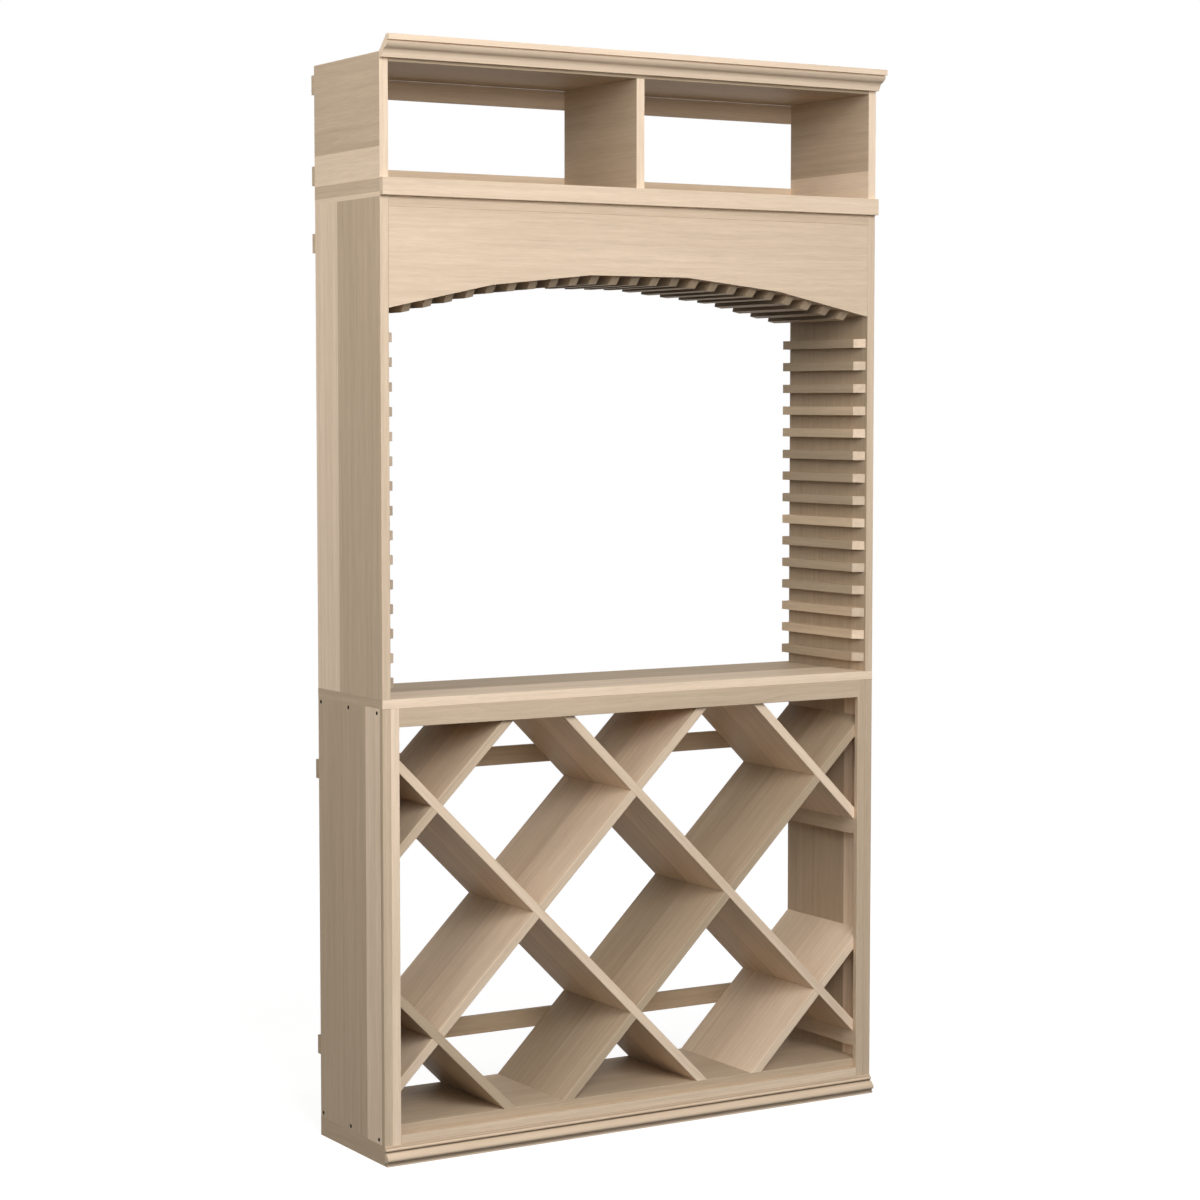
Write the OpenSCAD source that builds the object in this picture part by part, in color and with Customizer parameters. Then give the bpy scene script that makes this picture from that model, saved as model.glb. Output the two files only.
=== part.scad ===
// Wine tasting cabinet in pale wood. Millimetres, +Z up, front towards -Y.
// The origin is on the floor, under the middle of the whole cabinet.
// Inside the modules, X runs from the left face, Y back from the carcass front, Z up from the floor.

/* [Cabinet] */
// Overall width
cabinet_w = 1219.2; // [900:1:1600]
// Depth of the carcass, without mouldings and back rails
cabinet_d = 297; // [260:1:420]
// Thickness of sides, panels, boards and square bars
board_t = 19.05; // [14:0.05:24]
// Thickness of the front strips, arch panels, ledge and back rails
strip_t = 12.7; // [8:0.1:18]
// Chamfer along the long edges of boards and strips
edge_ease = 0.8; // [0.2:0.1:2]

/* [Plinth and base moulding] */
// Height of the plinth
plinth_h = 40; // [30:1:90]
// Height of the fillet at the top of the base moulding
base_fillet_h = 4; // [2:0.1:6]
// How far the fillet's face lies behind the bead's centre
base_fillet_back = 2.4; // [1:0.1:2.6]
// Radius of the bead below the fillet
base_bead_r = 3.1; // [2.8:0.1:4]
// How far the bead's centre stands out from the front
base_bead_out = 3.6; // [3.2:0.1:4.5]
// Height of the quirk under the bead
base_quirk_h = 3.4; // [2:0.1:4]
// How far the quirk's wall lies behind the bead's centre
base_quirk_back = 1.6; // [0.5:0.1:2.4]
// How far the torus's upper end stands out from the front
base_torus_in = 5; // [4.5:0.1:7]
// Radius of the torus's lower part
base_torus_r = 5.1; // [4.5:0.1:6]
// How far that radius's centre stands out from the front
base_torus_out = 10.5; // [9:0.1:12]
// Height of that centre above the floor
base_torus_z = 14.3; // [13:0.1:15]
// Angle at which the lower part passes into the flatter upper part
base_torus_turn = 22; // [10:1:30]
// Height of the groove between torus and foot
base_groove_h = 5; // [3:0.1:6]
// How far the groove's wall lies behind the centre of the torus's lower part
base_groove_back = 1.8; // [1:0.1:4]
// How far the foot of the base moulding stands out
base_foot_out = 11.3; // [10:0.1:15]

/* [Lower unit] */
// Height of the lower unit's top surface, the tabletop
table_h = 950.9; // [700:1:1100]
// Height of the front top rail
top_rail_h = 38.1; // [25:0.1:60]
// Width of the front strips and inner stile strips
front_strip_w = 19.05; // [14:0.05:30]
// Distance from the lower unit's top and bottom to its back rails
base_rail_inset = 132.5; // [60:0.5:200]

/* [Diamond lattice] */
// Level spacing of the lattice boards, as a share of the clear width
lattice_share = 0.4054; // [0.38:0.0001:0.42]
// Thickness of the lattice boards
lattice_t = 19.05; // [12:0.05:24]
// Clearance of a halving slot round the board that it takes
halving_gap = 0.2; // [0.1:0.05:0.6]
// Width of the cleats that seat boards at the side walls
cleat_w = 19.05; // [12:0.05:24]
// Height of a cleat at its inner face
cleat_h = 33; // [28:0.5:60]
// Clearance between a cleat and the board on it
cleat_gap = 0.2; // [0:0.05:0.5]

/* [Side panel screws] */
// Diameter of the screw pockets
pocket_d = 8; // [6.5:0.1:10]
// Depth of the screw pockets
pocket_depth = 9; // [6:0.1:11]
// Distance from a side panel's edges to its outer screws
screw_edge = 12.7; // [8:0.1:30]
// Diameter of a screw's shank
screw_d = 4; // [3:0.1:5]
// Clearance round a screw's head in its pocket
pocket_gap = 0.4; // [0.2:0.05:0.5]
// Height of a screw's head
screw_head_h = 3; // [2:0.1:5]
// Length of a screw's shank
screw_l = 38; // [25:0.5:60]
// Clearance round shank and tip in their holes
screw_gap = 0.3; // [0.2:0.05:0.5]

/* [Tall unit and arch] */
// Height of the tall unit's side panels
tall_side_h = 1004.6; // [960:0.1:1200]
// Thickness of the cap board over the side panels
cap_t = 9.5; // [6:0.1:19]
// Distance from the top of the side panels down to the ends of the arch edge
arch_drop = 220; // [170:0.5:300]
// Number of straight facets in the arch
arch_facets = 5; // [3:2:7]
// Turn of the arch from one facet to the next, in degrees
arch_turn = 6; // [3:0.5:7]
// Height of the slats' upper faces above the arch edge
slat_lift = 2; // [0:0.1:6]
// Number of slats under the arch
slat_count = 23; // [11:1:27]
// Side of the square slats and wall rails
bar_w = 19.05; // [12:0.05:22]
// Thickness of the ceiling panel over the slats
ceiling_t = 12.7; // [6:0.1:19]
// Distance from the cap board down to the back rail behind the arch
arch_rail_drop = 59.5; // [30:0.5:80]

/* [Wall rails] */
// Number of rails on each side wall
wall_rail_count = 15; // [6:1:15]
// Spacing of the rails
wall_rail_pitch = 49.63; // [40:0.01:52]
// Height of the lowest rail's middle above the tabletop
wall_rail_start = 31.5; // [15:0.1:40]
// Distance from the front to the foot of a rail's bevel
wall_rail_setback = 6.35; // [0:0.05:20]

/* [Top case] */
// Thickness of the shelf board
shelf_t = 25.4; // [15:0.1:38]
// Height of the case sides
case_side_h = 249.9; // [200:0.1:400]
// Distance from the front edge of the shelf board down to the ledge's lower edge
ledge_drop = 7; // [2:0.1:9]
// Height of the ledge board
ledge_h = 35; // [28:0.1:45]
// Height of the gap under the case's lower back rail
case_rail_gap = 4; // [0:0.1:30]

/* [Crown] */
// Height of the crown
crown_h = 43; // [40:0.5:60]
// How far the crown stands out from the carcass front
crown_out = 42; // [38:0.5:60]
// Distance from the case's top down to the crown's lower edge
crown_lap = 12.3; // [8:0.1:20]
// How far the crown's lower edge stands out
crown_foot_out = 11.8; // [8:0.1:13]
// Height of the crown's upper band
crown_band_h = 11.5; // [6:0.1:14]
// Width of the crown's top surface
crown_top_w = 11; // [6:0.1:16]
// Height of the quirk under the band
crown_quirk_h = 2.8; // [1:0.1:4]
// Distance from the rounded part's upper edge back to the quirk's wall
crown_quirk_w = 3; // [1:0.1:5]
// Distance from the band's face back to the rounded part's upper edge
crown_step = 5.5; // [1:0.1:7]
// Radius of the rounded part under the quirk
crown_round_r = 21.4; // [16:0.5:24]
// Radius of the hollow below the rounded part
crown_hollow_r = 16.3; // [10:0.5:18]

/* [Back rails] */
// Height of the back rails
back_rail_h = 40; // [25:0.5:60]

/* [Hidden] */
round_fn = 48;
past = 1;                                   // how far a cutter runs past the face that it cuts

front_y = -(cabinet_d + strip_t - crown_out) / 2;
inside_l = board_t;
inside_r = cabinet_w - board_t;
inside_w = inside_r - inside_l;
middle_x = cabinet_w / 2;

base_top_z = table_h - board_t;             // underside of the tabletop
floor_z = plinth_h + 2 * board_t;           // top of the lattice's floor board
roof_z = base_top_z - 2 * board_t;          // underside of the lattice's roof board
panel_d = cabinet_d - strip_t;              // depth of what stands behind the front strips
lattice_half = lattice_share * inside_w / 2;
lattice_z = (floor_z + roof_z) / 2;
lattice_mid_y = strip_t + panel_d / 2;

tall_top_z = table_h + tall_side_h;
cap_top_z = tall_top_z + cap_t;
case_floor_z = cap_top_z + shelf_t;
case_top_z = case_floor_z + case_side_h;
crown_z = case_top_z - crown_lap;

pale = [0.90, 0.82, 0.70];
wood = [0.85, 0.76, 0.63];
tan_wood = [0.78, 0.69, 0.56];
brown_wood = [0.71, 0.62, 0.50];
steel = [0.55, 0.55, 0.56];

// Helpers.

// From the measuring corner (left, carcass front, floor) to the cabinet's own origin.
module placed() {
    translate([-middle_x, front_y, 0]) children();
}

function eased(w, h, e) = [
    [e, 0], [w - e, 0], [w, e], [w, h - e], [w - e, h], [e, h], [0, h - e], [0, e]
];

// Board with one corner at the origin and chamfers along its long edges.
module board(size, along) {
    if (along == "x")
        rotate([90, 0, 90]) linear_extrude(size.x) polygon(eased(size.y, size.z, edge_ease));
    if (along == "y")
        translate([0, size.y, 0]) rotate([90, 0, 0])
            linear_extrude(size.y) polygon(eased(size.x, size.z, edge_ease));
    if (along == "z")
        linear_extrude(size.z) polygon(eased(size.x, size.y, edge_ease));
}

// Extrudes a profile drawn as [outwards, up] along the cabinet's front, ends flush with the sides.
module front_moulding(profile, z) {
    translate([cabinet_w, 0, z]) rotate([90, 0, -90]) linear_extrude(cabinet_w) polygon(profile);
}

module across_x(y0, y1) {
    translate([0, y1, 0]) rotate([90, 0, 0]) linear_extrude(y1 - y0) children();
}

module mirrored_x() {
    translate([cabinet_w, 0, 0]) mirror([1, 0, 0]) children();
}

// Plinth and base moulding.

module plinth_side() {
    cube([board_t, cabinet_d, plinth_h]);
}

module plinth_left() {
    color(brown_wood) placed() plinth_side();
}

module plinth_right() {
    color(brown_wood) placed() mirrored_x() plinth_side();
}

module plinth_front() {
    color(brown_wood) placed() translate([inside_l, 0, 0]) cube([inside_w, board_t, plinth_h]);
}

module plinth_rear() {
    color(brown_wood) placed()
        translate([inside_l, cabinet_d - board_t, 0]) cube([inside_w, board_t, plinth_h]);
}

function arc_points(c, r, a0, a1, n) = [
    for (i = [0:n]) let (a = a0 + (a1 - a0) * i / n) c + r * [cos(a), sin(a)]
];

// From the floor up: an upright foot, a groove, the torus, a quirk, the bead, and the fillet,
// which ends level with the plinth's top.
bead_c = [base_bead_out, plinth_h - base_fillet_h - base_bead_r];
torus_c = [base_torus_out, base_torus_z];
torus_top = [base_torus_in, bead_c.y - base_bead_r - base_quirk_h];
turn_normal = [cos(base_torus_turn), sin(base_torus_turn)];
turn_p = torus_c + base_torus_r * turn_normal;
upper_r = (torus_top - turn_p) * (torus_top - turn_p) / (2 * (turn_p - torus_top) * turn_normal);
upper_c = turn_p - upper_r * turn_normal;
upper_end = atan2(torus_top.y - upper_c.y, torus_top.x - upper_c.x);
foot_h = base_torus_z - base_torus_r - base_groove_h;
groove_out = base_torus_out - base_groove_back;
groove_angle = -acos(-base_groove_back / base_torus_r);
quirk_out = base_bead_out - base_quirk_back;
quirk_angle = -acos(-base_quirk_back / base_bead_r);
fillet_out = base_bead_out - base_fillet_back;
fillet_angle = acos(-base_fillet_back / base_bead_r);
base_profile = concat(
    [[0, 0], [base_foot_out, 0], [base_foot_out, foot_h], [groove_out, foot_h]],
    arc_points(torus_c, base_torus_r, groove_angle, base_torus_turn, 9),
    [for (i = [1:6]) arc_points(upper_c, upper_r, base_torus_turn, upper_end, 6)[i]],
    [[quirk_out, torus_top.y]],
    arc_points(bead_c, base_bead_r, quirk_angle, fillet_angle, 14),
    [[fillet_out, plinth_h], [0, plinth_h]]
);

module base_moulding() {
    color(pale) placed() front_moulding(base_profile, 0);
}

// Lower unit carcass.

screw_levels = [plinth_h + board_t / 2, base_top_z - board_t / 2];
screw_rows = [strip_t + screw_edge, lattice_mid_y, cabinet_d - screw_edge];

// Runs its children at each screw of the left side, X pointing into the cabinet.
module at_screws() {
    for (z = screw_levels, y = screw_rows) translate([0, y, z]) rotate([0, 90, 0]) children();
}

module base_side() {
    difference() {
        translate([0, strip_t, plinth_h]) board([board_t, panel_d, base_top_z - plinth_h], "z");
        at_screws() {
            translate([0, 0, -past]) cylinder(d = pocket_d, h = pocket_depth + past, $fn = round_fn);
            cylinder(d = screw_d + 2 * screw_gap, h = board_t + past, $fn = round_fn);
        }
    }
}

module base_left_side() {
    color(tan_wood) placed() base_side();
}

module base_right_side() {
    color(tan_wood) placed() mirrored_x() base_side();
}

// Holes for the screws' ends, in both ends of a panel that lies between the sides.
module screw_end_holes() {
    at_screws() translate([0, 0, board_t - past])
        cylinder(d = screw_d + 2 * screw_gap, h = pocket_depth + screw_l + screw_gap - board_t + past,
                 $fn = round_fn);
}

module between_sides_panel(z) {
    difference() {
        translate([inside_l, strip_t, z]) board([inside_w, panel_d, board_t], "x");
        screw_end_holes();
        mirrored_x() screw_end_holes();
    }
}

module base_bottom_panel() {
    color(wood) placed() between_sides_panel(plinth_h);
}

module base_top_panel() {
    color(wood) placed() between_sides_panel(base_top_z - board_t);
}

module side_screws() {
    at_screws() union() {
        translate([0, 0, pocket_depth - screw_head_h])
            cylinder(d = pocket_d - 2 * pocket_gap, h = screw_head_h, $fn = round_fn);
        translate([0, 0, pocket_depth - past]) cylinder(d = screw_d, h = screw_l + past, $fn = round_fn);
    }
}

module left_side_screws() {
    color(steel) placed() side_screws();
}

module right_side_screws() {
    color(steel) placed() mirrored_x() side_screws();
}

module outer_strip() {
    translate([0, 0, plinth_h]) board([front_strip_w, strip_t, base_top_z - plinth_h], "z");
}

module outer_strip_left() {
    color(brown_wood) placed() outer_strip();
}

module outer_strip_right() {
    color(brown_wood) placed() mirrored_x() outer_strip();
}

module inner_stile() {
    translate([front_strip_w, 0, plinth_h])
        board([front_strip_w, strip_t, base_top_z - plinth_h], "z");
}

module inner_stile_left() {
    color(wood) placed() inner_stile();
}

module inner_stile_right() {
    color(wood) placed() mirrored_x() inner_stile();
}

module front_rail(z, h) {
    translate([2 * front_strip_w, 0, z]) board([cabinet_w - 4 * front_strip_w, strip_t, h], "x");
}

module front_top_rail() {
    color(tan_wood) placed() front_rail(base_top_z - top_rail_h, top_rail_h);
}

module front_bottom_rail() {
    color(wood) placed() front_rail(plinth_h, board_t);
}

module tabletop() {
    color(wood) placed() translate([0, 0, base_top_z]) board([cabinet_w, cabinet_d, board_t], "x");
}

// Diamond lattice.

// The lattice stands between a floor board and a roof board of its own.
module lattice_end_board(z) {
    translate([inside_l, strip_t, z]) board([inside_w, panel_d, board_t], "x");
}

module lattice_floor_board() {
    color(wood) placed() lattice_end_board(floor_z - board_t);
}

module lattice_roof_board() {
    color(wood) placed() lattice_end_board(roof_z);
}

// Four boards fall to the right and four rise to the right, all at 45 degrees. Each is known by
// its place to the right of the lattice's middle, in steps of lattice_half, at middle height.
lattice_places = [-3, -1, 1, 3];
lattice_reach = cabinet_w + table_h;

// Where the falling board at place f crosses the rising board at place r.
function crossing(f, r) =
    [middle_x + (f + r) / 2 * lattice_half, lattice_z + (f - r) / 2 * lattice_half];

module tilted_board(place, fall) {
    translate([middle_x + place * lattice_half, strip_t, lattice_z]) rotate([0, fall ? 45 : -45, 0])
        translate([-lattice_reach, 0, -lattice_t / 2])
            board([2 * lattice_reach, panel_d, lattice_t], "x");
}

// Halving slot at one crossing, as wide as the board that crosses there and half its depth.
// Falling boards are slotted from the rear and rising ones from the front.
module halving(c, fall) {
    slot_w = lattice_t + 2 * halving_gap;
    y0 = fall ? lattice_mid_y - halving_gap : strip_t - past;
    y1 = fall ? cabinet_d + past : lattice_mid_y + halving_gap;
    translate([c.x, y0, c.y]) rotate([0, fall ? 45 : -45, 0])
        translate([-slot_w / 2, 0, -lattice_t]) cube([slot_w, y1 - y0, 2 * lattice_t]);
}

// The clear inside between side panels, floor board and roof board, which trims the boards' ends.
module inside_of_base() {
    translate([inside_l, 0, floor_z]) cube([inside_w, cabinet_d, roof_z - floor_z]);
}

module lattice_board(place, fall) {
    difference() {
        intersection() {
            tilted_board(place, fall);
            inside_of_base();
        }
        for (other = lattice_places)
            halving(fall ? crossing(place, other) : crossing(other, place), fall);
    }
}

module lattice_fall_1() {
    color(wood) placed() lattice_board(-1, true);
}

module lattice_fall_2() {
    color(wood) placed() lattice_board(1, true);
}

module lattice_fall_3() {
    color(tan_wood) placed() lattice_board(-3, true);
}

module lattice_fall_4() {
    color(tan_wood) placed() lattice_board(3, true);
}

module lattice_rise_1() {
    color(tan_wood) placed() lattice_board(1, false);
}

module lattice_rise_2() {
    color(tan_wood) placed() lattice_board(-1, false);
}

module lattice_rise_3() {
    color(wood) placed() lattice_board(3, false);
}

module lattice_rise_4() {
    color(wood) placed() lattice_board(-3, false);
}

// Height at the left wall of a rising board's underside, less the cleat's clearance.
function seat_z(place) =
    lattice_z - place * lattice_half - inside_w / 2 - lattice_t / 2 * sqrt(2) - cleat_gap;

module wall_cleat(z) {
    across_x(strip_t, cabinet_d) polygon([
        [inside_l, z + cleat_w - cleat_h], [inside_l + cleat_w, z + cleat_w - cleat_h],
        [inside_l + cleat_w, z + cleat_w], [inside_l, z]
    ]);
}

module wall_cleats() {
    intersection() {
        for (place = [-3, -1]) wall_cleat(seat_z(place));
        inside_of_base();
    }
}

module left_wall_cleats() {
    color(wood) placed() wall_cleats();
}

module right_wall_cleats() {
    color(wood) placed() mirrored_x() wall_cleats();
}

// Tall unit.

module tall_side() {
    translate([0, 0, table_h]) board([board_t, cabinet_d, tall_side_h], "z");
}

module tall_left_side() {
    color(tan_wood) placed() tall_side();
}

module tall_right_side() {
    color(tan_wood) placed() mirrored_x() tall_side();
}

module tall_top_panel() {
    color(wood) placed()
        translate([inside_l, 0, tall_top_z - board_t]) board([inside_w, cabinet_d, board_t], "x");
}

module tall_cap_board() {
    color(pale) placed() translate([0, 0, tall_top_z]) board([cabinet_w, cabinet_d, cap_t], "x");
}

// Arch.

facet_w = inside_w / arch_facets;
function facet_slope(k) = ((arch_facets - 1) / 2 - k) * arch_turn;

// Point k of the arch edge, from the left wall (k = 0) to the right wall (k = arch_facets).
function arch_point(k) =
    k == 0 ? [inside_l, tall_top_z - arch_drop]
           : arch_point(k - 1) + facet_w * [1, tan(facet_slope(k - 1))];

function arch_edge(lift) = [for (k = [0:arch_facets]) arch_point(k) + [0, lift]];

// Fills from the arch edge, lifted, up to a level top.
module above_arch(lift, top_z) {
    polygon(concat(arch_edge(lift), [[inside_r, top_z], [inside_l, top_z]]));
}

module arch_front_panel() {
    color(wood) placed() across_x(0, strip_t) above_arch(0, tall_top_z - board_t);
}

module arch_ceiling_panel() {
    lower = arch_edge(slat_lift);
    upper = arch_edge(slat_lift + ceiling_t);
    color(wood) placed() across_x(strip_t, cabinet_d - strip_t)
        polygon(concat(lower, [for (k = [arch_facets:-1:0]) upper[k]]));
}

arch_rail_z = tall_top_z - arch_rail_drop - back_rail_h;

module arch_rear_rib() {
    color(wood) placed() across_x(cabinet_d - strip_t, cabinet_d)
        above_arch(slat_lift, arch_rail_z + back_rail_h);
}

function facet_length(k) = facet_w / cos(facet_slope(k));
function arch_length(k) = k == 0 ? 0 : arch_length(k - 1) + facet_length(k - 1);
slat_pitch = arch_length(arch_facets) / (slat_count + 1);
function facet_at(s, k = 0) = s <= arch_length(k + 1) || k == arch_facets - 1 ? k : facet_at(s, k + 1);

// Slat at a distance s along the arch: a square bar in line with its facet, its front end bevelled.
module slat(s) {
    k = facet_at(s);
    p = arch_point(k) + (s - arch_length(k)) * [cos(facet_slope(k)), sin(facet_slope(k))];
    translate([p.x, strip_t, p.y + slat_lift]) rotate([0, -facet_slope(k), 0])
        translate([-bar_w / 2, 0, 0]) rotate([90, 0, 90]) linear_extrude(bar_w)
            polygon([[0, 0], [panel_d, 0], [panel_d, -bar_w], [bar_w, -bar_w]]);
}

module arch_slats() {
    color(tan_wood) placed() difference() {
        for (i = [1:slat_count]) slat(i * slat_pitch);
        across_x(0, cabinet_d + past) above_arch(slat_lift, tall_top_z);
    }
}

// Wall rails.

module wall_rail(z) {
    translate([inside_l, 0, z - bar_w / 2]) linear_extrude(bar_w) polygon([
        [0, wall_rail_setback], [bar_w, wall_rail_setback + bar_w], [bar_w, cabinet_d], [0, cabinet_d]
    ]);
}

module wall_rails() {
    for (i = [0:wall_rail_count - 1]) wall_rail(table_h + wall_rail_start + i * wall_rail_pitch);
}

module left_wall_rails() {
    color(tan_wood) placed() wall_rails();
}

module right_wall_rails() {
    color(tan_wood) placed() mirrored_x() wall_rails();
}

// Top case.

module case_shelf_board() {
    color(tan_wood) placed() translate([0, 0, cap_top_z]) board([cabinet_w, cabinet_d, shelf_t], "x");
}

module case_side() {
    translate([0, 0, case_floor_z]) board([board_t, cabinet_d, case_side_h], "y");
}

module case_left_side() {
    color(wood) placed() case_side();
}

module case_right_side() {
    color(wood) placed() mirrored_x() case_side();
}

module case_top_board() {
    color(wood) placed()
        translate([inside_l, 0, case_top_z - board_t]) board([inside_w, cabinet_d, board_t], "x");
}

module case_divider() {
    color(pale) placed() translate([middle_x - board_t / 2, 0, case_floor_z])
        board([board_t, cabinet_d, case_side_h - board_t], "y");
}

module ledge_board() {
    color(pale) placed() translate([0, -strip_t, cap_top_z - ledge_drop])
        board([cabinet_w, strip_t, ledge_h], "x");
}

// Crown.

// Points of a curve whose direction turns from angle a0 to a1, rounded outwards (side = 1)
// or hollowed (side = -1). It starts at p.
function turning(p, r, a0, a1, side, n) =
    let (c = p - side * r * [sin(a0), -cos(a0)])
    [for (i = [0:n]) let (a = a0 + (a1 - a0) * i / n) c + side * r * [sin(a), -cos(a)]];

band_z = crown_h - crown_band_h;
quirk_z = band_z - crown_quirk_h;
crown_round = turning([crown_out - crown_step, quirk_z], crown_round_r, 67, 20, 1, 8);
quirk_wall = crown_round[0].x - crown_quirk_w;
crown_hollow = turning(crown_round[8], crown_hollow_r, 20, 70, -1, 8);
crown_profile = concat(
    [[0, 0], [0, crown_lap], [crown_out - crown_top_w, crown_h], [crown_out, crown_h],
     [crown_out, band_z], [quirk_wall, band_z], [quirk_wall, quirk_z]],
    crown_round,
    [for (i = [1:8]) crown_hollow[i]],
    [[crown_foot_out, 0]]
);

module crown_moulding() {
    color(pale) placed() front_moulding(crown_profile, crown_z);
}

// Back rails.

module back_rail(z) {
    translate([0, cabinet_d, z]) board([cabinet_w, strip_t, back_rail_h], "x");
}

module base_lower_back_rail() {
    color(tan_wood) placed() back_rail(plinth_h + base_rail_inset);
}

module base_upper_back_rail() {
    color(tan_wood) placed() back_rail(base_top_z - base_rail_inset - back_rail_h);
}

module arch_back_rail() {
    color(tan_wood) placed() back_rail(arch_rail_z);
}

module case_lower_back_rail() {
    color(tan_wood) placed() back_rail(case_floor_z + case_rail_gap);
}

module case_upper_back_rail() {
    color(tan_wood) placed() back_rail(case_top_z - board_t - back_rail_h);
}

plinth_left();
plinth_right();
plinth_front();
plinth_rear();
base_moulding();
base_left_side();
base_right_side();
base_bottom_panel();
base_top_panel();
outer_strip_left();
outer_strip_right();
inner_stile_left();
inner_stile_right();
front_top_rail();
front_bottom_rail();
left_wall_cleats();
right_wall_cleats();
lattice_floor_board();
lattice_roof_board();
lattice_fall_1();
lattice_fall_2();
lattice_fall_3();
lattice_fall_4();
lattice_rise_1();
lattice_rise_2();
lattice_rise_3();
lattice_rise_4();
left_side_screws();
right_side_screws();
tabletop();
tall_left_side();
tall_right_side();
tall_top_panel();
tall_cap_board();
arch_front_panel();
arch_ceiling_panel();
arch_rear_rib();
arch_slats();
left_wall_rails();
right_wall_rails();
case_shelf_board();
case_left_side();
case_right_side();
case_top_board();
case_divider();
ledge_board();
crown_moulding();
base_lower_back_rail();
base_upper_back_rail();
arch_back_rail();
case_lower_back_rail();
case_upper_back_rail();
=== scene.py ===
import math

import bmesh
import bpy
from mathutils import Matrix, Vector

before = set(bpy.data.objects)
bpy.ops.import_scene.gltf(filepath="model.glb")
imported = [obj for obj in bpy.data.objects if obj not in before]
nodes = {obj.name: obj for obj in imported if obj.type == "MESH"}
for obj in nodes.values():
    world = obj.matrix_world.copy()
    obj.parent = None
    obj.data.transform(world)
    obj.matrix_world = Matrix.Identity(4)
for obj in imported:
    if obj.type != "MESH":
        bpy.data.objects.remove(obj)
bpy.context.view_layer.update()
print("frame loaded:", len(nodes), "CAD nodes")


# Colour and node helpers

white = (1.0, 1.0, 1.0, 1.0)
nodeGap = 180                    # between two nodes in the node editor


def toLinear(rgb):
    parts = [value / 255 for value in rgb]
    return (*(c / 12.92 if c <= 0.04045 else ((c + 0.055) / 1.055) ** 2.4 for c in parts), 1.0)


def scaled(colour, factor):
    return tuple(min(1.0, c * factor) for c in colour[:3]) + (1.0,)


class NodeBench:
    # holds the node tree of a material or of the world, and adds wired nodes to it

    def __init__(self, owner, outputKind):
        self.owner = owner
        owner.use_nodes = True
        self.tree = owner.node_tree
        self.tree.nodes.clear()
        self.output = self.tree.nodes.new(outputKind)

    def add(self, kind, inputs=None, **settings):
        node = self.tree.nodes.new(kind)
        node.location.x = nodeGap * len(self.tree.nodes)
        for key, value in settings.items():
            setattr(node, key, value)
        for key, value in (inputs or {}).items():
            if isinstance(value, bpy.types.NodeSocket):
                self.tree.links.new(value, node.inputs[key])
            else:
                node.inputs[key].default_value = value
        return node

    def math(self, operation, a, b=0.0):
        return self.add("ShaderNodeMath", {0: a, 1: b}, operation=operation).outputs[0]

    def vector(self, operation, a, b):
        return self.add("ShaderNodeVectorMath", {0: a, 1: b}, operation=operation).outputs[0]

    def measure(self, operation, a, b=(0.0, 0.0, 0.0)):
        # for the vector operations that give one number
        return self.add("ShaderNodeVectorMath", {0: a, 1: b}, operation=operation).outputs["Value"]

    def split(self, vector):
        return dict(zip("XYZ", self.add("ShaderNodeSeparateXYZ", {0: vector}).outputs))

    def join(self, x=0.0, y=0.0, z=0.0):
        return self.add("ShaderNodeCombineXYZ", {0: x, 1: y, 2: z}).outputs[0]

    def turn(self, vector, angles):
        return self.add("ShaderNodeVectorRotate", {"Vector": vector, "Rotation": angles},
                        rotation_type="EULER_XYZ").outputs[0]

    def mix(self, factor, a, b, blend="MIX"):
        # the colours are a Mix node's sockets 6 and 7, and the result is its output 2
        return self.add("ShaderNodeMix", {0: factor, 6: a, 7: b},
                        data_type="RGBA", blend_type=blend).outputs[2]

    def mixVector(self, factor, a, b):
        # the vectors are its sockets 4 and 5, and the result is its output 1
        return self.add("ShaderNodeMix", {0: factor, 4: a, 5: b}, data_type="VECTOR").outputs[1]

    def times(self, a, b):
        return self.mix(1.0, a, b, "MULTIPLY")

    def remap(self, value, reach, result, smooth=False):
        inputs = {0: value, 1: reach[0], 2: reach[1], 3: result[0], 4: result[1]}
        return self.add("ShaderNodeMapRange", inputs,
                        interpolation_type="SMOOTHSTEP" if smooth else "LINEAR").outputs[0]

    def finish(self, shader):
        self.tree.links.new(shader.outputs[0], self.output.inputs[0])
        return self.owner


def materialBench(name):
    return NodeBench(bpy.data.materials.new(name), "ShaderNodeOutputMaterial")


# How the wood looks
woodLook = {
    "green": (0.97, -14.5),              # a tone's green is so much of its red, and so much more
    "blue": (0.98, -41.5),
    "endShade": 0.95,                    # of cut ends
    "warmth": (1.0, 0.968, 0.93, 1.0),   # what the darker streaks lean to
    "warmthReach": (0.85, 1.1),          # the grain shades over which they do
    "bump": 0.12,                        # strength of the fibres' relief
    "reliefDepth": 0.0003,               # metres
    "reliefShares": (0.5, 0.25),         # of the fibres, and of dashes and streaks each
    "reliefReach": (0.3, 0.7),
    "roughness": 0.6,
    "roughnessSwing": 0.07,
    "specular": 0.2,
    # the eased edges are painted paler, as wear and as a painted highlight
    "edgeWearAndHighlight": 0.02,                    # how much paler the eased edges are
    "edgeWearAndHighlightReach": (0.7, 0.95),            # largest part of the normal on an eased edge, and on a face
    "barTint": (1.0, 0.97, 0.89),        # what the sides of rails and slats lean to
    # the screw holes' walls are darkened: painted shade in the holes
    "pocketWallShade": 200,                 # of a screw hole's wall, before it is darkened
}

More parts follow.
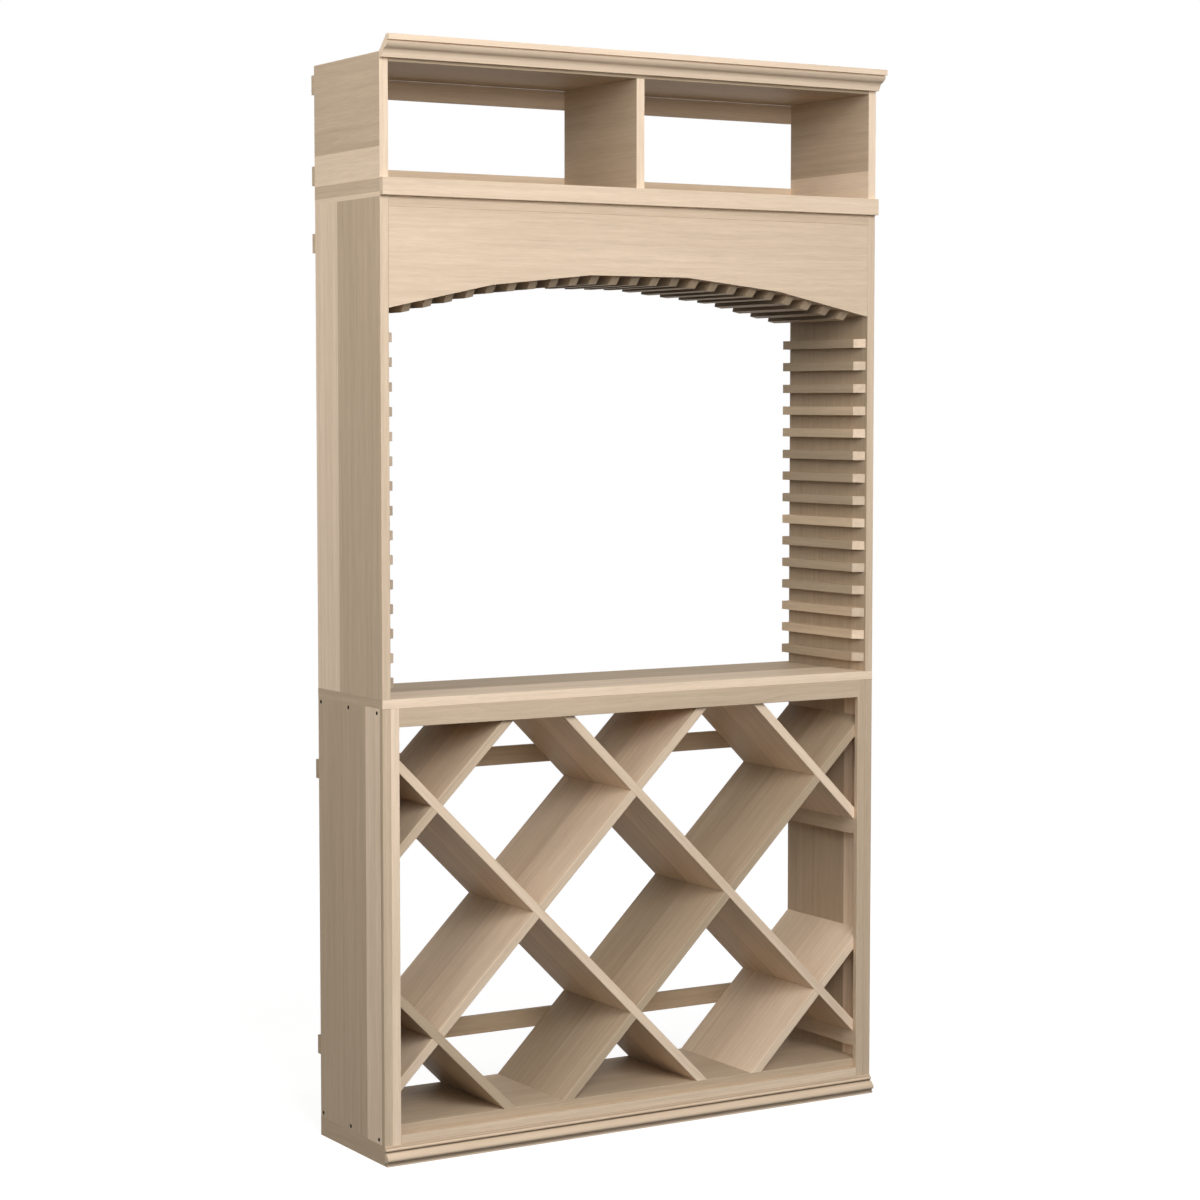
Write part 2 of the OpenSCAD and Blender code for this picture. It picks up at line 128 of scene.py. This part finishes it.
# The layers of its grain: a broad drift of tone, long streaks, short streaks, fibres, and a sway that moves
# them sideways by its strength times a board's waver. The noise has so many cells to a metre along and
# across the fibres.
grainLayers = {
    "figure": {"strength": 0.045, "along": 0.9, "across": 10.0, "detail": 3.0, "rough": 0.55, "warp": 0.6},
    "streak": {"strength": 0.08, "along": 2.0, "across": 85.0, "detail": 4.0, "rough": 0.6, "warp": 0.1},
    "dash": {"strength": 0.045, "along": 13.0, "across": 230.0, "detail": 3.0, "rough": 0.55, "warp": 0.1},
    "fibre": {"strength": 0.05, "along": 30.0, "across": 1100.0, "detail": 2.0, "rough": 0.55, "warp": 0.0},
    "sway": {"strength": 8.0, "along": 4.0, "across": 14.0, "detail": 2.0, "rough": 0.55, "warp": 0.0},
}
noiseReach = (0.27, 0.73)        # the noise seldom goes past these values
noiseMiddle = 0.5

# How far one board's place in the noise lies from the next one's
grainSteps = {
    "seed": (3.17, 1.31, 2.03),
    "board": (7.3, 2.9),         # along and across, for the second board of a panel
    "bar": 5.7,                  # for each next bar of a row
}

# How much of the normal points along a direction on the faces that count as such
facingLimit = {
    "cutEnd": 0.9,
    "front": 0.9,
    "bevel": 0.3,
    "side": 0.8,
}

# Turns that bring the direction of the fibres onto X, and that direction itself
grainTurn = {
    "x": (0.0, 0.0, 0.0),
    "y": (0.0, 0.0, math.radians(-90)),
    "z": (0.0, math.radians(90), 0.0),
    "fall": (0.0, math.radians(-45), 0.0),
    "rise": (0.0, math.radians(45), 0.0),
}
grainDirection = {
    "x": (1.0, 0.0, 0.0),
    "y": (0.0, 1.0, 0.0),
    "z": (0.0, 0.0, 1.0),
    "fall": (math.sqrt(0.5), 0.0, -math.sqrt(0.5)),
    "rise": (math.sqrt(0.5), 0.0, math.sqrt(0.5)),
}


def toneOf(shade):
    # a board's colour from its shade, the red of its sRGB tone: about 180 for the darkest, 248 for the palest
    green, blue = (share * shade + more for share, more in (woodLook["green"], woodLook["blue"]))
    return toLinear((shade, green, blue))


def layJoint(bench, axes, cutEnd, base, shift, joint):
    # the second board of a glued panel has its own tone and its own place in the noise
    axis, place, shade = joint
    beyond = bench.math("GREATER_THAN", axes[axis], place)
    onFace = bench.math("MULTIPLY", beyond, bench.math("SUBTRACT", 1.0, cutEnd))
    jump = bench.join(*(bench.math("MULTIPLY", onFace, step) for step in grainSteps["board"]))
    return bench.mix(beyond, base, toneOf(shade)), bench.vector("ADD", shift, jump)


def barTones(bench, count, factors, tint):
    # the factor of each bar of a row, found by the bar's number
    place = bench.math("DIVIDE", bench.math("ADD", count, 0.5), float(len(factors)))
    ramp = bench.add("ShaderNodeValToRGB", {0: place})
    stops = ramp.color_ramp
    stops.interpolation = "CONSTANT"
    for n, factor in enumerate(factors):
        position = n / len(factors)
        stop = stops.elements[n] if n < 2 else stops.elements.new(position)   # a new ramp has two stops
        stop.position = position
        stop.color = scaled(tint, factor)
    return ramp.outputs[0]


def layBars(bench, axes, facing, base, shift, row, paintedSideShade):
    # the tone of each bar of a row and of its bevel, and its place in the noise; where paintedSideShade is
    # given, painted shade on the bars' sides, deeper towards the back, and the tint on the bevels too
    axis, first, pitch, factors, bevelFactors = row
    count = bench.math("FLOOR", bench.math("DIVIDE", bench.math("SUBTRACT", axes[axis], first), pitch))
    tint = woodLook["barTint"]
    onBevel = bench.math("LESS_THAN", facing["Y"], -facingLimit["bevel"])
    tones = bench.mix(onBevel, barTones(bench, count, factors, tint),
                      barTones(bench, count, bevelFactors, tint if paintedSideShade else white))
    base = bench.times(base, tones)
    # painted shade on the bars' sides, deeper towards the back
    if paintedSideShade:
        onSide = bench.math("GREATER_THAN", bench.math("ABSOLUTE", facing["X"]), facingLimit["side"])
        fade = bench.remap(axes["Y"], paintedSideShade[:2], paintedSideShade[2:])
        base = bench.mix(onSide, base, bench.times(base, fade))
    jump = bench.join(bench.math("MULTIPLY", count, grainSteps["bar"]))
    return base, bench.vector("ADD", shift, jump)


def paintPocketShade(bench, axes, base, pockets):
    # painted shade on the walls of the screw holes
    radius, rows, levels, factor = pockets
    onSide = bench.join(0.0, axes["Y"], axes["Z"])
    for y in rows:
        for z in levels:
            inside = bench.math("LESS_THAN", bench.measure("DISTANCE", onSide, (0.0, y, z)), radius)
            base = bench.mix(inside, base, scaled(toneOf(woodLook["pocketWallShade"]), factor))
    return base


def layGrain(bench, spot, cutEnd, shift, grain, ends, waver):
    # the noise of each layer of the grain
    turned = bench.mixVector(cutEnd, bench.turn(spot, grainTurn[grain]), bench.turn(spot, grainTurn[ends]))
    turned = bench.vector("ADD", turned, shift)

    def noise(layer):
        look = grainLayers[layer]
        where = bench.vector("MULTIPLY", turned, (look["along"], look["across"], look["across"]))
        inputs = {"Vector": where, "Scale": 1.0, "Detail": look["detail"], "Roughness": look["rough"],
                  "Distortion": look["warp"]}
        return bench.add("ShaderNodeTexNoise", inputs).outputs[0]

    # the streaks waver a little from side to side
    sway = bench.math("MULTIPLY", bench.math("SUBTRACT", noise("sway"), noiseMiddle),
                      waver * grainLayers["sway"]["strength"])
    turned = bench.vector("ADD", turned, bench.join(0.0, sway, sway))
    return {layer: noise(layer) for layer in ("figure", "streak", "dash", "fibre")}


def makeWood(name, shade, grain, seed, joint=None, row=None, ends="y", endTone=None, litFrontTone=None,
             paintedSideShade=None, paintedShadeAndHighlight=(), pockets=None, contrast=1.0, waver=0.001):
    # joint = (axis, its place in metres, shade beyond it) for a panel glued from two boards
    # row = (axis, first, pitch, [factors], [factors of the bevels]) for a row of bars
    # ends = the way the streaks run on a board's cut ends, endTone = the shade of an edge strip there
    # litFrontTone = the shade of the faces that look to the front, lighter than the board's other faces:
    # painted light on the fronts
    # paintedSideShade = (Y in front, Y behind, factor in front, factor behind): painted shade on the sides of
    # a row's bars, deeper towards the back
    # creases = [(height, half its width, how much darker)]: painted shade along grooves that run along X,
    # and less than 0 for a painted highlight on a bead
    # pockets = (radius, [Y], [Z], shade factor) for holes along X, their walls darkened as painted shade
    # contrast = how strong the grain is, waver = how far its streaks sway from side to side
    bench = materialBench(name)
    place = bench.add("ShaderNodeTexCoord").outputs
    axes = bench.split(place["Object"])
    facing = bench.split(place["Normal"])
    along = bench.measure("DOT_PRODUCT", place["Normal"], grainDirection[grain])
    cutEnd = bench.math("GREATER_THAN", bench.math("ABSOLUTE", along), facingLimit["cutEnd"])

    base = toneOf(shade)
    shift = bench.join(*(seed * step for step in grainSteps["seed"]))
    if joint:
        base, shift = layJoint(bench, axes, cutEnd, base, shift, joint)
    if row:
        base, shift = layBars(bench, axes, facing, base, shift, row, paintedSideShade)
    if endTone:
        base = bench.mix(cutEnd, base, toneOf(endTone))
    # the front faces painted lighter than the rest of the board: painted light
    if litFrontTone:
        base = bench.mix(bench.math("LESS_THAN", facing["Y"], -facingLimit["front"]), base, toneOf(litFrontTone))
    # painted shade along the grooves, and a painted highlight where the factor is below 0
    for height, reach, depth in paintedShadeAndHighlight:
        away = bench.math("ABSOLUTE", bench.math("SUBTRACT", axes["Z"], height))
        base = bench.times(base, bench.remap(away, (reach / 2, reach), (1.0 - depth, 1.0), smooth=True))
    if pockets:
        base = paintPocketShade(bench, axes, base, pockets)

    layers = layGrain(bench, place["Object"], cutEnd, shift, grain, ends, waver)

    def swing(layer):
        # 1 at the middle of the noise, and more or less by the layer's strength towards its ends
        amount = grainLayers[layer]["strength"] * contrast
        return bench.remap(layers[layer], noiseReach, (1.0 - amount, 1.0 + amount))

    grainShade = bench.math("MULTIPLY", bench.math("MULTIPLY", swing("figure"), swing("streak")),
                            bench.math("MULTIPLY", swing("dash"), swing("fibre")))
    lean = bench.mix(bench.remap(grainShade, woodLook["warmthReach"], (0.0, 1.0)), woodLook["warmth"], white)
    colour = bench.times(bench.times(base, lean), grainShade)
    endShade = 1.0 if endTone else woodLook["endShade"]
    colour = bench.times(colour, bench.remap(cutEnd, (0.0, 1.0), (1.0, endShade)))

    # the eased edges are painted a little paler, as wear and as a painted highlight, but the lattice's
    # slanting faces are no edges
    if grain not in ("fall", "rise"):
        sizes = [bench.math("ABSOLUTE", facing[axis]) for axis in "XYZ"]
        widest = bench.math("MAXIMUM", sizes[0], bench.math("MAXIMUM", sizes[1], sizes[2]))
        eased = bench.remap(widest, woodLook["edgeWearAndHighlightReach"], (1.0 + woodLook["edgeWearAndHighlight"], 1.0))
        colour = bench.times(colour, eased)

    fibreShare, streakShare = woodLook["reliefShares"]
    streaks = bench.math("ADD", layers["dash"], layers["streak"])
    relief = bench.math("ADD", bench.math("MULTIPLY", layers["fibre"], fibreShare),
                        bench.math("MULTIPLY", streaks, streakShare))
    bump = bench.add("ShaderNodeBump", {"Strength": woodLook["bump"], "Distance": woodLook["reliefDepth"],
                                        "Height": relief})
    middle, change = woodLook["roughness"], woodLook["roughnessSwing"]
    rough = bench.remap(relief, woodLook["reliefReach"], (middle + change, middle - change))
    surface = bench.add("ShaderNodeBsdfPrincipled", {"Base Color": colour, "Roughness": rough,
                                                     "Normal": bump.outputs[0],
                                                     "Specular IOR Level": woodLook["specular"]})
    return bench.finish(surface)


def dress(nodeName, material):
    body = nodes[nodeName]
    if not body.material_slots:
        body.data.materials.append(material)
    for slot in body.material_slots:
        slot.material = material


# Plinth and base moulding
plinthLook = {
    "side": 190,
    "front": 190,
    "moulding": 219,
    "mouldingContrast": 0.7,
    # painted shade in the moulding's grooves, and a painted highlight on its bead (the entry below 0)
    "paintedShadeAndHighlight": [(0.0057, 0.0030, 0.52), (0.0279, 0.0019, 0.68), (0.0333, 0.0026, -0.1),
                (0.0363, 0.0014, 0.24)],
}
dress("plinth_left", makeWood("plinthLeft", plinthLook["side"], "y", seed=1, ends="z"))
dress("plinth_right", makeWood("plinthRight", plinthLook["side"], "y", seed=2, ends="z"))
dress("plinth_front", makeWood("plinthFront", plinthLook["front"], "x", seed=3))
dress("plinth_rear", makeWood("plinthRear", plinthLook["front"], "x", seed=4))
dress("base_moulding", makeWood("baseMoulding", plinthLook["moulding"], "x", seed=5,
                                contrast=plinthLook["mouldingContrast"], paintedShadeAndHighlight=plinthLook["paintedShadeAndHighlight"]))
print("plinth dressed")

# Lower unit. Each side is glued from two boards.
baseLook = {
    "side": 238,
    "sideJoint": ("Y", -0.0564, 194),
    # painted shade in the screw holes along each side
    "pockets": (0.0041, [-0.10845, 0.021, 0.15045], [0.04953, 0.92233], 0.03),
    "panel": 215,
    "outerStrips": [208, 207],
    # the outer strips' other faces, painted darker than their fronts: painted shade on their sides
    "outerSide": 192,
    "innerStrips": [240, 207],
    "topRail": 208,
    # the bottom rail's top painted darker than its front: painted shade on the top
    "bottomRail": 205,
    "bottomRailFront": 231,
    "waver": 0.003,
}
for n, side in enumerate(("left", "right")):
    number = str(n + 1)
    dress("base_" + side + "_side",
          makeWood("baseSide" + number, baseLook["side"], "z", seed=10 + n,
                   joint=baseLook["sideJoint"], pockets=baseLook["pockets"]))
    dress("outer_strip_" + side, makeWood("outerStrip" + number, baseLook["outerSide"], "z", seed=14 + n,
                                          litFrontTone=baseLook["outerStrips"][n]))
    dress("inner_stile_" + side, makeWood("innerStile" + number, baseLook["innerStrips"][n], "z",
                                          seed=16 + n))
dress("base_bottom_panel", makeWood("basePanelBottom", baseLook["panel"], "x", seed=12,
                                    waver=baseLook["waver"]))
dress("base_top_panel", makeWood("basePanelTop", baseLook["panel"], "x", seed=13, waver=baseLook["waver"]))
dress("front_top_rail", makeWood("frontRailTop", baseLook["topRail"], "x", seed=18, waver=baseLook["waver"]))
dress("front_bottom_rail", makeWood("frontRailBottom", baseLook["bottomRail"], "x", seed=19,
                                    litFrontTone=baseLook["bottomRailFront"]))
print("lower unit dressed")

# Diamond lattice and its cleats. The rear part of each board is a second, darker board.
latticeLook = {
    "jointY": 0.02615,
    "fall": [236, 231, 195, 243],
    "rise": [190, 225, 234, 209],
    "rear": 0.94,
    "firstSeed": {"fall": 20, "rise": 30},
    "cleat": 205,
    "floorBoard": 195,
    "roofBoard": 215,
}
for kind, firstSeed in latticeLook["firstSeed"].items():
    for n, shade in enumerate(latticeLook[kind]):
        number = str(n + 1)
        dress("lattice_" + kind + "_" + number,
              makeWood("lattice" + kind.capitalize() + number, shade, kind, seed=firstSeed + n,
                       joint=("Y", latticeLook["jointY"], shade * latticeLook["rear"])))
dress("left_wall_cleats", makeWood("cleatLeft", latticeLook["cleat"], "y", seed=25))
dress("right_wall_cleats", makeWood("cleatRight", latticeLook["cleat"], "y", seed=26))
dress("lattice_floor_board", makeWood("latticeFloor", latticeLook["floorBoard"], "x", seed=27))
dress("lattice_roof_board", makeWood("latticeRoof", latticeLook["roofBoard"], "x", seed=28))
print("lattice dressed")

# Tabletop, glued from a light front board and a darker rear one
tableLook = {
    "top": 230,
    "joint": ("Y", -0.0018, 187),
    # the tabletop's front edge painted lighter than its top: painted light
    "frontEdge": 245,
    "end": 197,
    "waver": 0.002,
}
dress("tabletop", makeWood("tableTop", tableLook["top"], "x", seed=40, waver=tableLook["waver"],
                           joint=tableLook["joint"], litFrontTone=tableLook["frontEdge"],
                           endTone=tableLook["end"]))
print("tabletop dressed")

# Tall unit, arch and wall rails. Rails and slats have factors on the bars' shade.
tallLook = {
    "sides": [204, 186],
    "sideJoints": [("Y", 0.0587, 239), ("Y", 0.0587, 186)],
    # the tall sides' front edges painted lighter than the sides: painted light
    "frontEdge": 220,
    "topPanel": 215,
    "cap": 232,
    "capEnd": 243,
    "arch": 221,
    "archWaver": 0.002,
    "bar": 236,
    "railFirst": 0.9576,         # metres, half a pitch below the middle of the lowest rail
    "railPitch": 0.04963,
    "railSides": [0.59, 0.83, 0.84, 0.63, 0.66, 0.65, 0.95, 0.63, 0.64, 0.63, 0.88, 0.90, 0.65, 0.63, 0.65],
    "railBevels": [0.72, 0.96, 0.76, 0.77, 0.75, 0.95, 0.88, 0.75, 0.81, 0.90, 0.98, 0.84, 0.82, 0.81, 0.98],
    "slatWidth": 0.019,
    # the slats' sides and bevels are set dark, partly as painted shade under the arch, and their tone differs
    # at random from bar to bar
    "slatSides": [0.58, 0.68, 0.55, 0.63, 0.52, 0.66, 0.58, 0.53, 0.65, 0.57, 0.68, 0.54,
                  0.62, 0.52, 0.67, 0.58, 0.56, 0.65, 0.53, 0.61, 0.68, 0.55, 0.61],
    "slatBevels": [0.62, 0.73, 0.58, 0.68, 0.54, 0.71, 0.62, 0.56, 0.69, 0.60, 0.73, 0.57,
                   0.66, 0.54, 0.71, 0.62, 0.58, 0.69, 0.56, 0.65, 0.73, 0.58, 0.65],
    # painted shade on the slats' sides, from the front towards the back
    "slatSideShade": (-0.112, -0.065, 1.38, 0.52),
}
slatCount = len(tallLook["slatSides"])
slatPitch = (nodes["arch_slats"].dimensions.x - tallLook["slatWidth"]) / (slatCount - 1)
for n, side in enumerate(("left", "right")):
    number = str(n + 1)
    dress("tall_" + side + "_side",
          makeWood("tallSide" + number, tallLook["sides"][n], "z", seed=50 + n,
                   joint=tallLook["sideJoints"][n], litFrontTone=tallLook["frontEdge"]))
    dress(side + "_wall_rails",
          makeWood("wallRails" + number, tallLook["bar"], "y", seed=58 + n, ends="z",
                   row=("Z", tallLook["railFirst"], tallLook["railPitch"],
                        tallLook["railSides"], tallLook["railBevels"])))
dress("tall_top_panel", makeWood("tallPanelTop", tallLook["topPanel"], "x", seed=52))
dress("tall_cap_board", makeWood("tallCap", tallLook["cap"], "x", seed=53, endTone=tallLook["capEnd"]))
dress("arch_front_panel", makeWood("archFront", tallLook["arch"], "x", seed=54, waver=tallLook["archWaver"]))
dress("arch_ceiling_panel", makeWood("archCeiling", tallLook["arch"], "y", seed=55, ends="x"))
dress("arch_rear_rib", makeWood("archRib", tallLook["arch"], "x", seed=56))
dress("arch_slats", makeWood("archSlats", tallLook["bar"], "y", seed=57, ends="x",
                             paintedSideShade=tallLook["slatSideShade"],
                             row=("X", -slatPitch * slatCount / 2, slatPitch,
                                  tallLook["slatSides"], tallLook["slatBevels"])))
print("tall unit dressed")

# Top case, ledge and crown. The case sides are glued from a light lower and a darker upper board.
caseLook = {
    "side": 241,
    "sideJoint": ("Z", 2.0543, 208),
    "frontEdges": [234, 244],
    # the divider's sides painted darker than its front edge: painted shade inside the case
    "divider": 196,
    "dividerEdge": 239,
    "shelf": 210,
    "shelfEnd": 213,
    # the top board is set dark, partly as painted shade on its underside
    "top": 184,
    "ledge": 229,
    "crown": 236,
    # the crown's cut ends painted lighter than the crown: painted light on its left end
    "crownEnd": 248,
    "crownContrast": 0.7,
}
for n, side in enumerate(("left", "right")):
    dress("case_" + side + "_side",
          makeWood("caseSide" + str(n + 1), caseLook["side"], "y", seed=60 + n, ends="z",
                   endTone=caseLook["frontEdges"][n], joint=caseLook["sideJoint"]))
dress("case_divider", makeWood("caseDivider", caseLook["divider"], "y", seed=62, ends="z",
                               endTone=caseLook["dividerEdge"]))
dress("case_shelf_board", makeWood("caseShelf", caseLook["shelf"], "x", seed=64,
                                   endTone=caseLook["shelfEnd"]))
dress("case_top_board", makeWood("caseTop", caseLook["top"], "x", seed=65))
dress("ledge_board", makeWood("ledge", caseLook["ledge"], "x", seed=68))
dress("crown_moulding", makeWood("crown", caseLook["crown"], "x", seed=67, endTone=caseLook["crownEnd"],
                                 contrast=caseLook["crownContrast"]))
print("top case dressed")

# Back rails, from the lowest up
railLook = {
    "base_lower_back_rail": 180,
    "base_upper_back_rail": 180,
    "arch_back_rail": 214,
    "case_lower_back_rail": 205,
    "case_upper_back_rail": 205,
}
for n, (name, shade) in enumerate(railLook.items()):
    dress(name, makeWood("backRail" + str(n + 1), shade, "x", seed=70 + n))
print("back rails dressed")

# Screws, of a dark steel
screwLook = {
    "colour": (20, 19, 18),
    "patches": 1.8,              # how much lighter its patches are
    "patchScale": 900.0,
    "patchDetail": 3.0,
    "roughness": (0.4, 0.65),
    "metallic": 0.9,
}


def makeScrewSteel():
    bench = materialBench("screwSteel")
    place = bench.add("ShaderNodeTexCoord").outputs["Object"]
    patch = bench.add("ShaderNodeTexNoise", {"Vector": place, "Scale": screwLook["patchScale"],
                                             "Detail": screwLook["patchDetail"]}).outputs[0]
    steel = toLinear(screwLook["colour"])
    surface = bench.add("ShaderNodeBsdfPrincipled",
                        {"Base Color": bench.mix(patch, steel, scaled(steel, screwLook["patches"])),
                         "Roughness": bench.remap(patch, (0.0, 1.0), screwLook["roughness"]),
                         "Metallic": screwLook["metallic"]})
    return bench.finish(surface)


screwSteel = makeScrewSteel()
dress("left_side_screws", screwSteel)
dress("right_side_screws", screwSteel)
print("screws dressed")

# Floor and world
stageLook = {
    "floorReach": 40.0,
    "floorAlbedo": 0.05,         # what the floor sends back onto the cabinet
    "floorSeen": 0.30,           # how strongly light and shadow show on the floor
    "floorLift": 0.845,          # the rest of its white
    "shadowReach": (2.2, 4.0),   # metres over which the floor turns plain white
    "worldTowards": (-0.35, -0.75, 0.55),
    "worldReach": (-0.4, 1.0),
    "worldLight": (0.0, 0.57),   # strength from behind and below, and from the front and above
}


def seenRays(bench):
    # 1 for what the camera sees, also in reflections and by transmission, and 0 for light on the object
    path = bench.add("ShaderNodeLightPath").outputs
    return bench.math("MAXIMUM", path["Is Camera Ray"],
                      bench.math("MAXIMUM", path["Is Glossy Ray"], path["Is Transmission Ray"]))


def makeFloorPaper():
    bench = materialBench("floorPaper")
    plain = bench.add("ShaderNodeBsdfDiffuse", {"Color": scaled(white, stageLook["floorAlbedo"])})
    shaded = bench.add("ShaderNodeBsdfDiffuse", {"Color": scaled(white, stageLook["floorSeen"])})
    lift = bench.add("ShaderNodeEmission", {"Strength": stageLook["floorLift"]})
    near = bench.add("ShaderNodeAddShader", {0: shaded.outputs[0], 1: lift.outputs[0]})
    far = bench.add("ShaderNodeEmission", {"Strength": 1.0})
    away = bench.measure("LENGTH", bench.add("ShaderNodeTexCoord").outputs["Object"])
    fade = bench.remap(away, stageLook["shadowReach"], (0.0, 1.0), smooth=True)
    seen = bench.add("ShaderNodeMixShader", {0: fade, 1: near.outputs[0], 2: far.outputs[0]})
    return bench.finish(bench.add("ShaderNodeMixShader", {0: seenRays(bench), 1: plain.outputs[0],
                                                          2: seen.outputs[0]}))


def makeFloor():
    mesh = bpy.data.meshes.new("floor")
    shape = bmesh.new()
    bmesh.ops.create_grid(shape, x_segments=4, y_segments=4, size=stageLook["floorReach"])
    shape.to_mesh(mesh)
    shape.free()
    floor = bpy.data.objects.new("floor", mesh)
    bpy.context.scene.collection.objects.link(floor)
    floor.data.materials.append(makeFloorPaper())


def makeWorld():
    # for the camera plain white, for the object's light brighter from the front and above
    world = bpy.data.worlds.new("studio")
    bpy.context.scene.world = world
    bench = NodeBench(world, "ShaderNodeOutputWorld")
    place = bench.add("ShaderNodeTexCoord").outputs["Generated"]
    towards = bench.measure("DOT_PRODUCT", place, stageLook["worldTowards"])
    level = bench.remap(towards, stageLook["worldReach"], stageLook["worldLight"])
    soft = bench.add("ShaderNodeBackground", {"Strength": level})
    plain = bench.add("ShaderNodeBackground", {"Color": white})
    bench.finish(bench.add("ShaderNodeMixShader", {0: seenRays(bench), 1: soft.outputs[0],
                                                   2: plain.outputs[0]}))


# Lamps. The fill behind leaves no shine on the tabletop.
lampLook = {
    "key": {"at": (-0.9, -4.3, 3.1), "aim": (0.0, 0.0, 1.4), "size": 2.4, "watts": 168,
            "colour": (1.0, 1.0, 1.0), "shines": True},
    "side": {"at": (-3.7, -0.6, 3.0), "aim": (-0.4, 0.0, 1.4), "size": 2.6, "watts": 64,
             "colour": (1.0, 0.97, 0.93), "shines": True},
    "fill": {"at": (3.5, 3.3, 1.1), "aim": (0.0, 0.0, 1.2), "size": 2.2, "watts": 85,
             "colour": (1.0, 1.0, 1.0), "shines": False},
}


def makeLamp(name, look):
    lamp = bpy.data.lights.new(name, "AREA")
    lamp.size = look["size"]
    lamp.energy = look["watts"]
    lamp.color = look["colour"]
    holder = bpy.data.objects.new(name, lamp)
    bpy.context.scene.collection.objects.link(holder)
    holder.location = look["at"]
    aim = Vector(look["aim"]) - Vector(look["at"])
    holder.rotation_euler = aim.to_track_quat("-Z", "Y").to_euler()
    holder.visible_glossy = look["shines"]


# Camera, where the photograph was taken from
cameraLook = {
    "at": (-3.1991, -5.2509, 1.5477),
    "turn": 0.5447,              # towards +X, radians
    "dip": 0.069,                # downwards, radians
    "lens": 85.89,
    "sensor": 36.0,
    "sight": 200.0,              # metres, past the end of the floor
}


def makeCamera():
    data = bpy.data.cameras.new("photoView")
    data.lens = cameraLook["lens"]
    data.sensor_width = cameraLook["sensor"]
    data.sensor_fit = "HORIZONTAL"
    data.clip_end = cameraLook["sight"]
    camera = bpy.data.objects.new("photoView", data)
    bpy.context.scene.collection.objects.link(camera)
    camera.location = cameraLook["at"]
    camera.rotation_euler = (math.pi / 2 - cameraLook["dip"], 0.0, -cameraLook["turn"])
    bpy.context.scene.camera = camera


makeFloor()
makeWorld()
for name, look in lampLook.items():
    makeLamp(name, look)
makeCamera()
bpy.context.scene.view_settings.view_transform = "Standard"
print("stage, lamps and camera set")
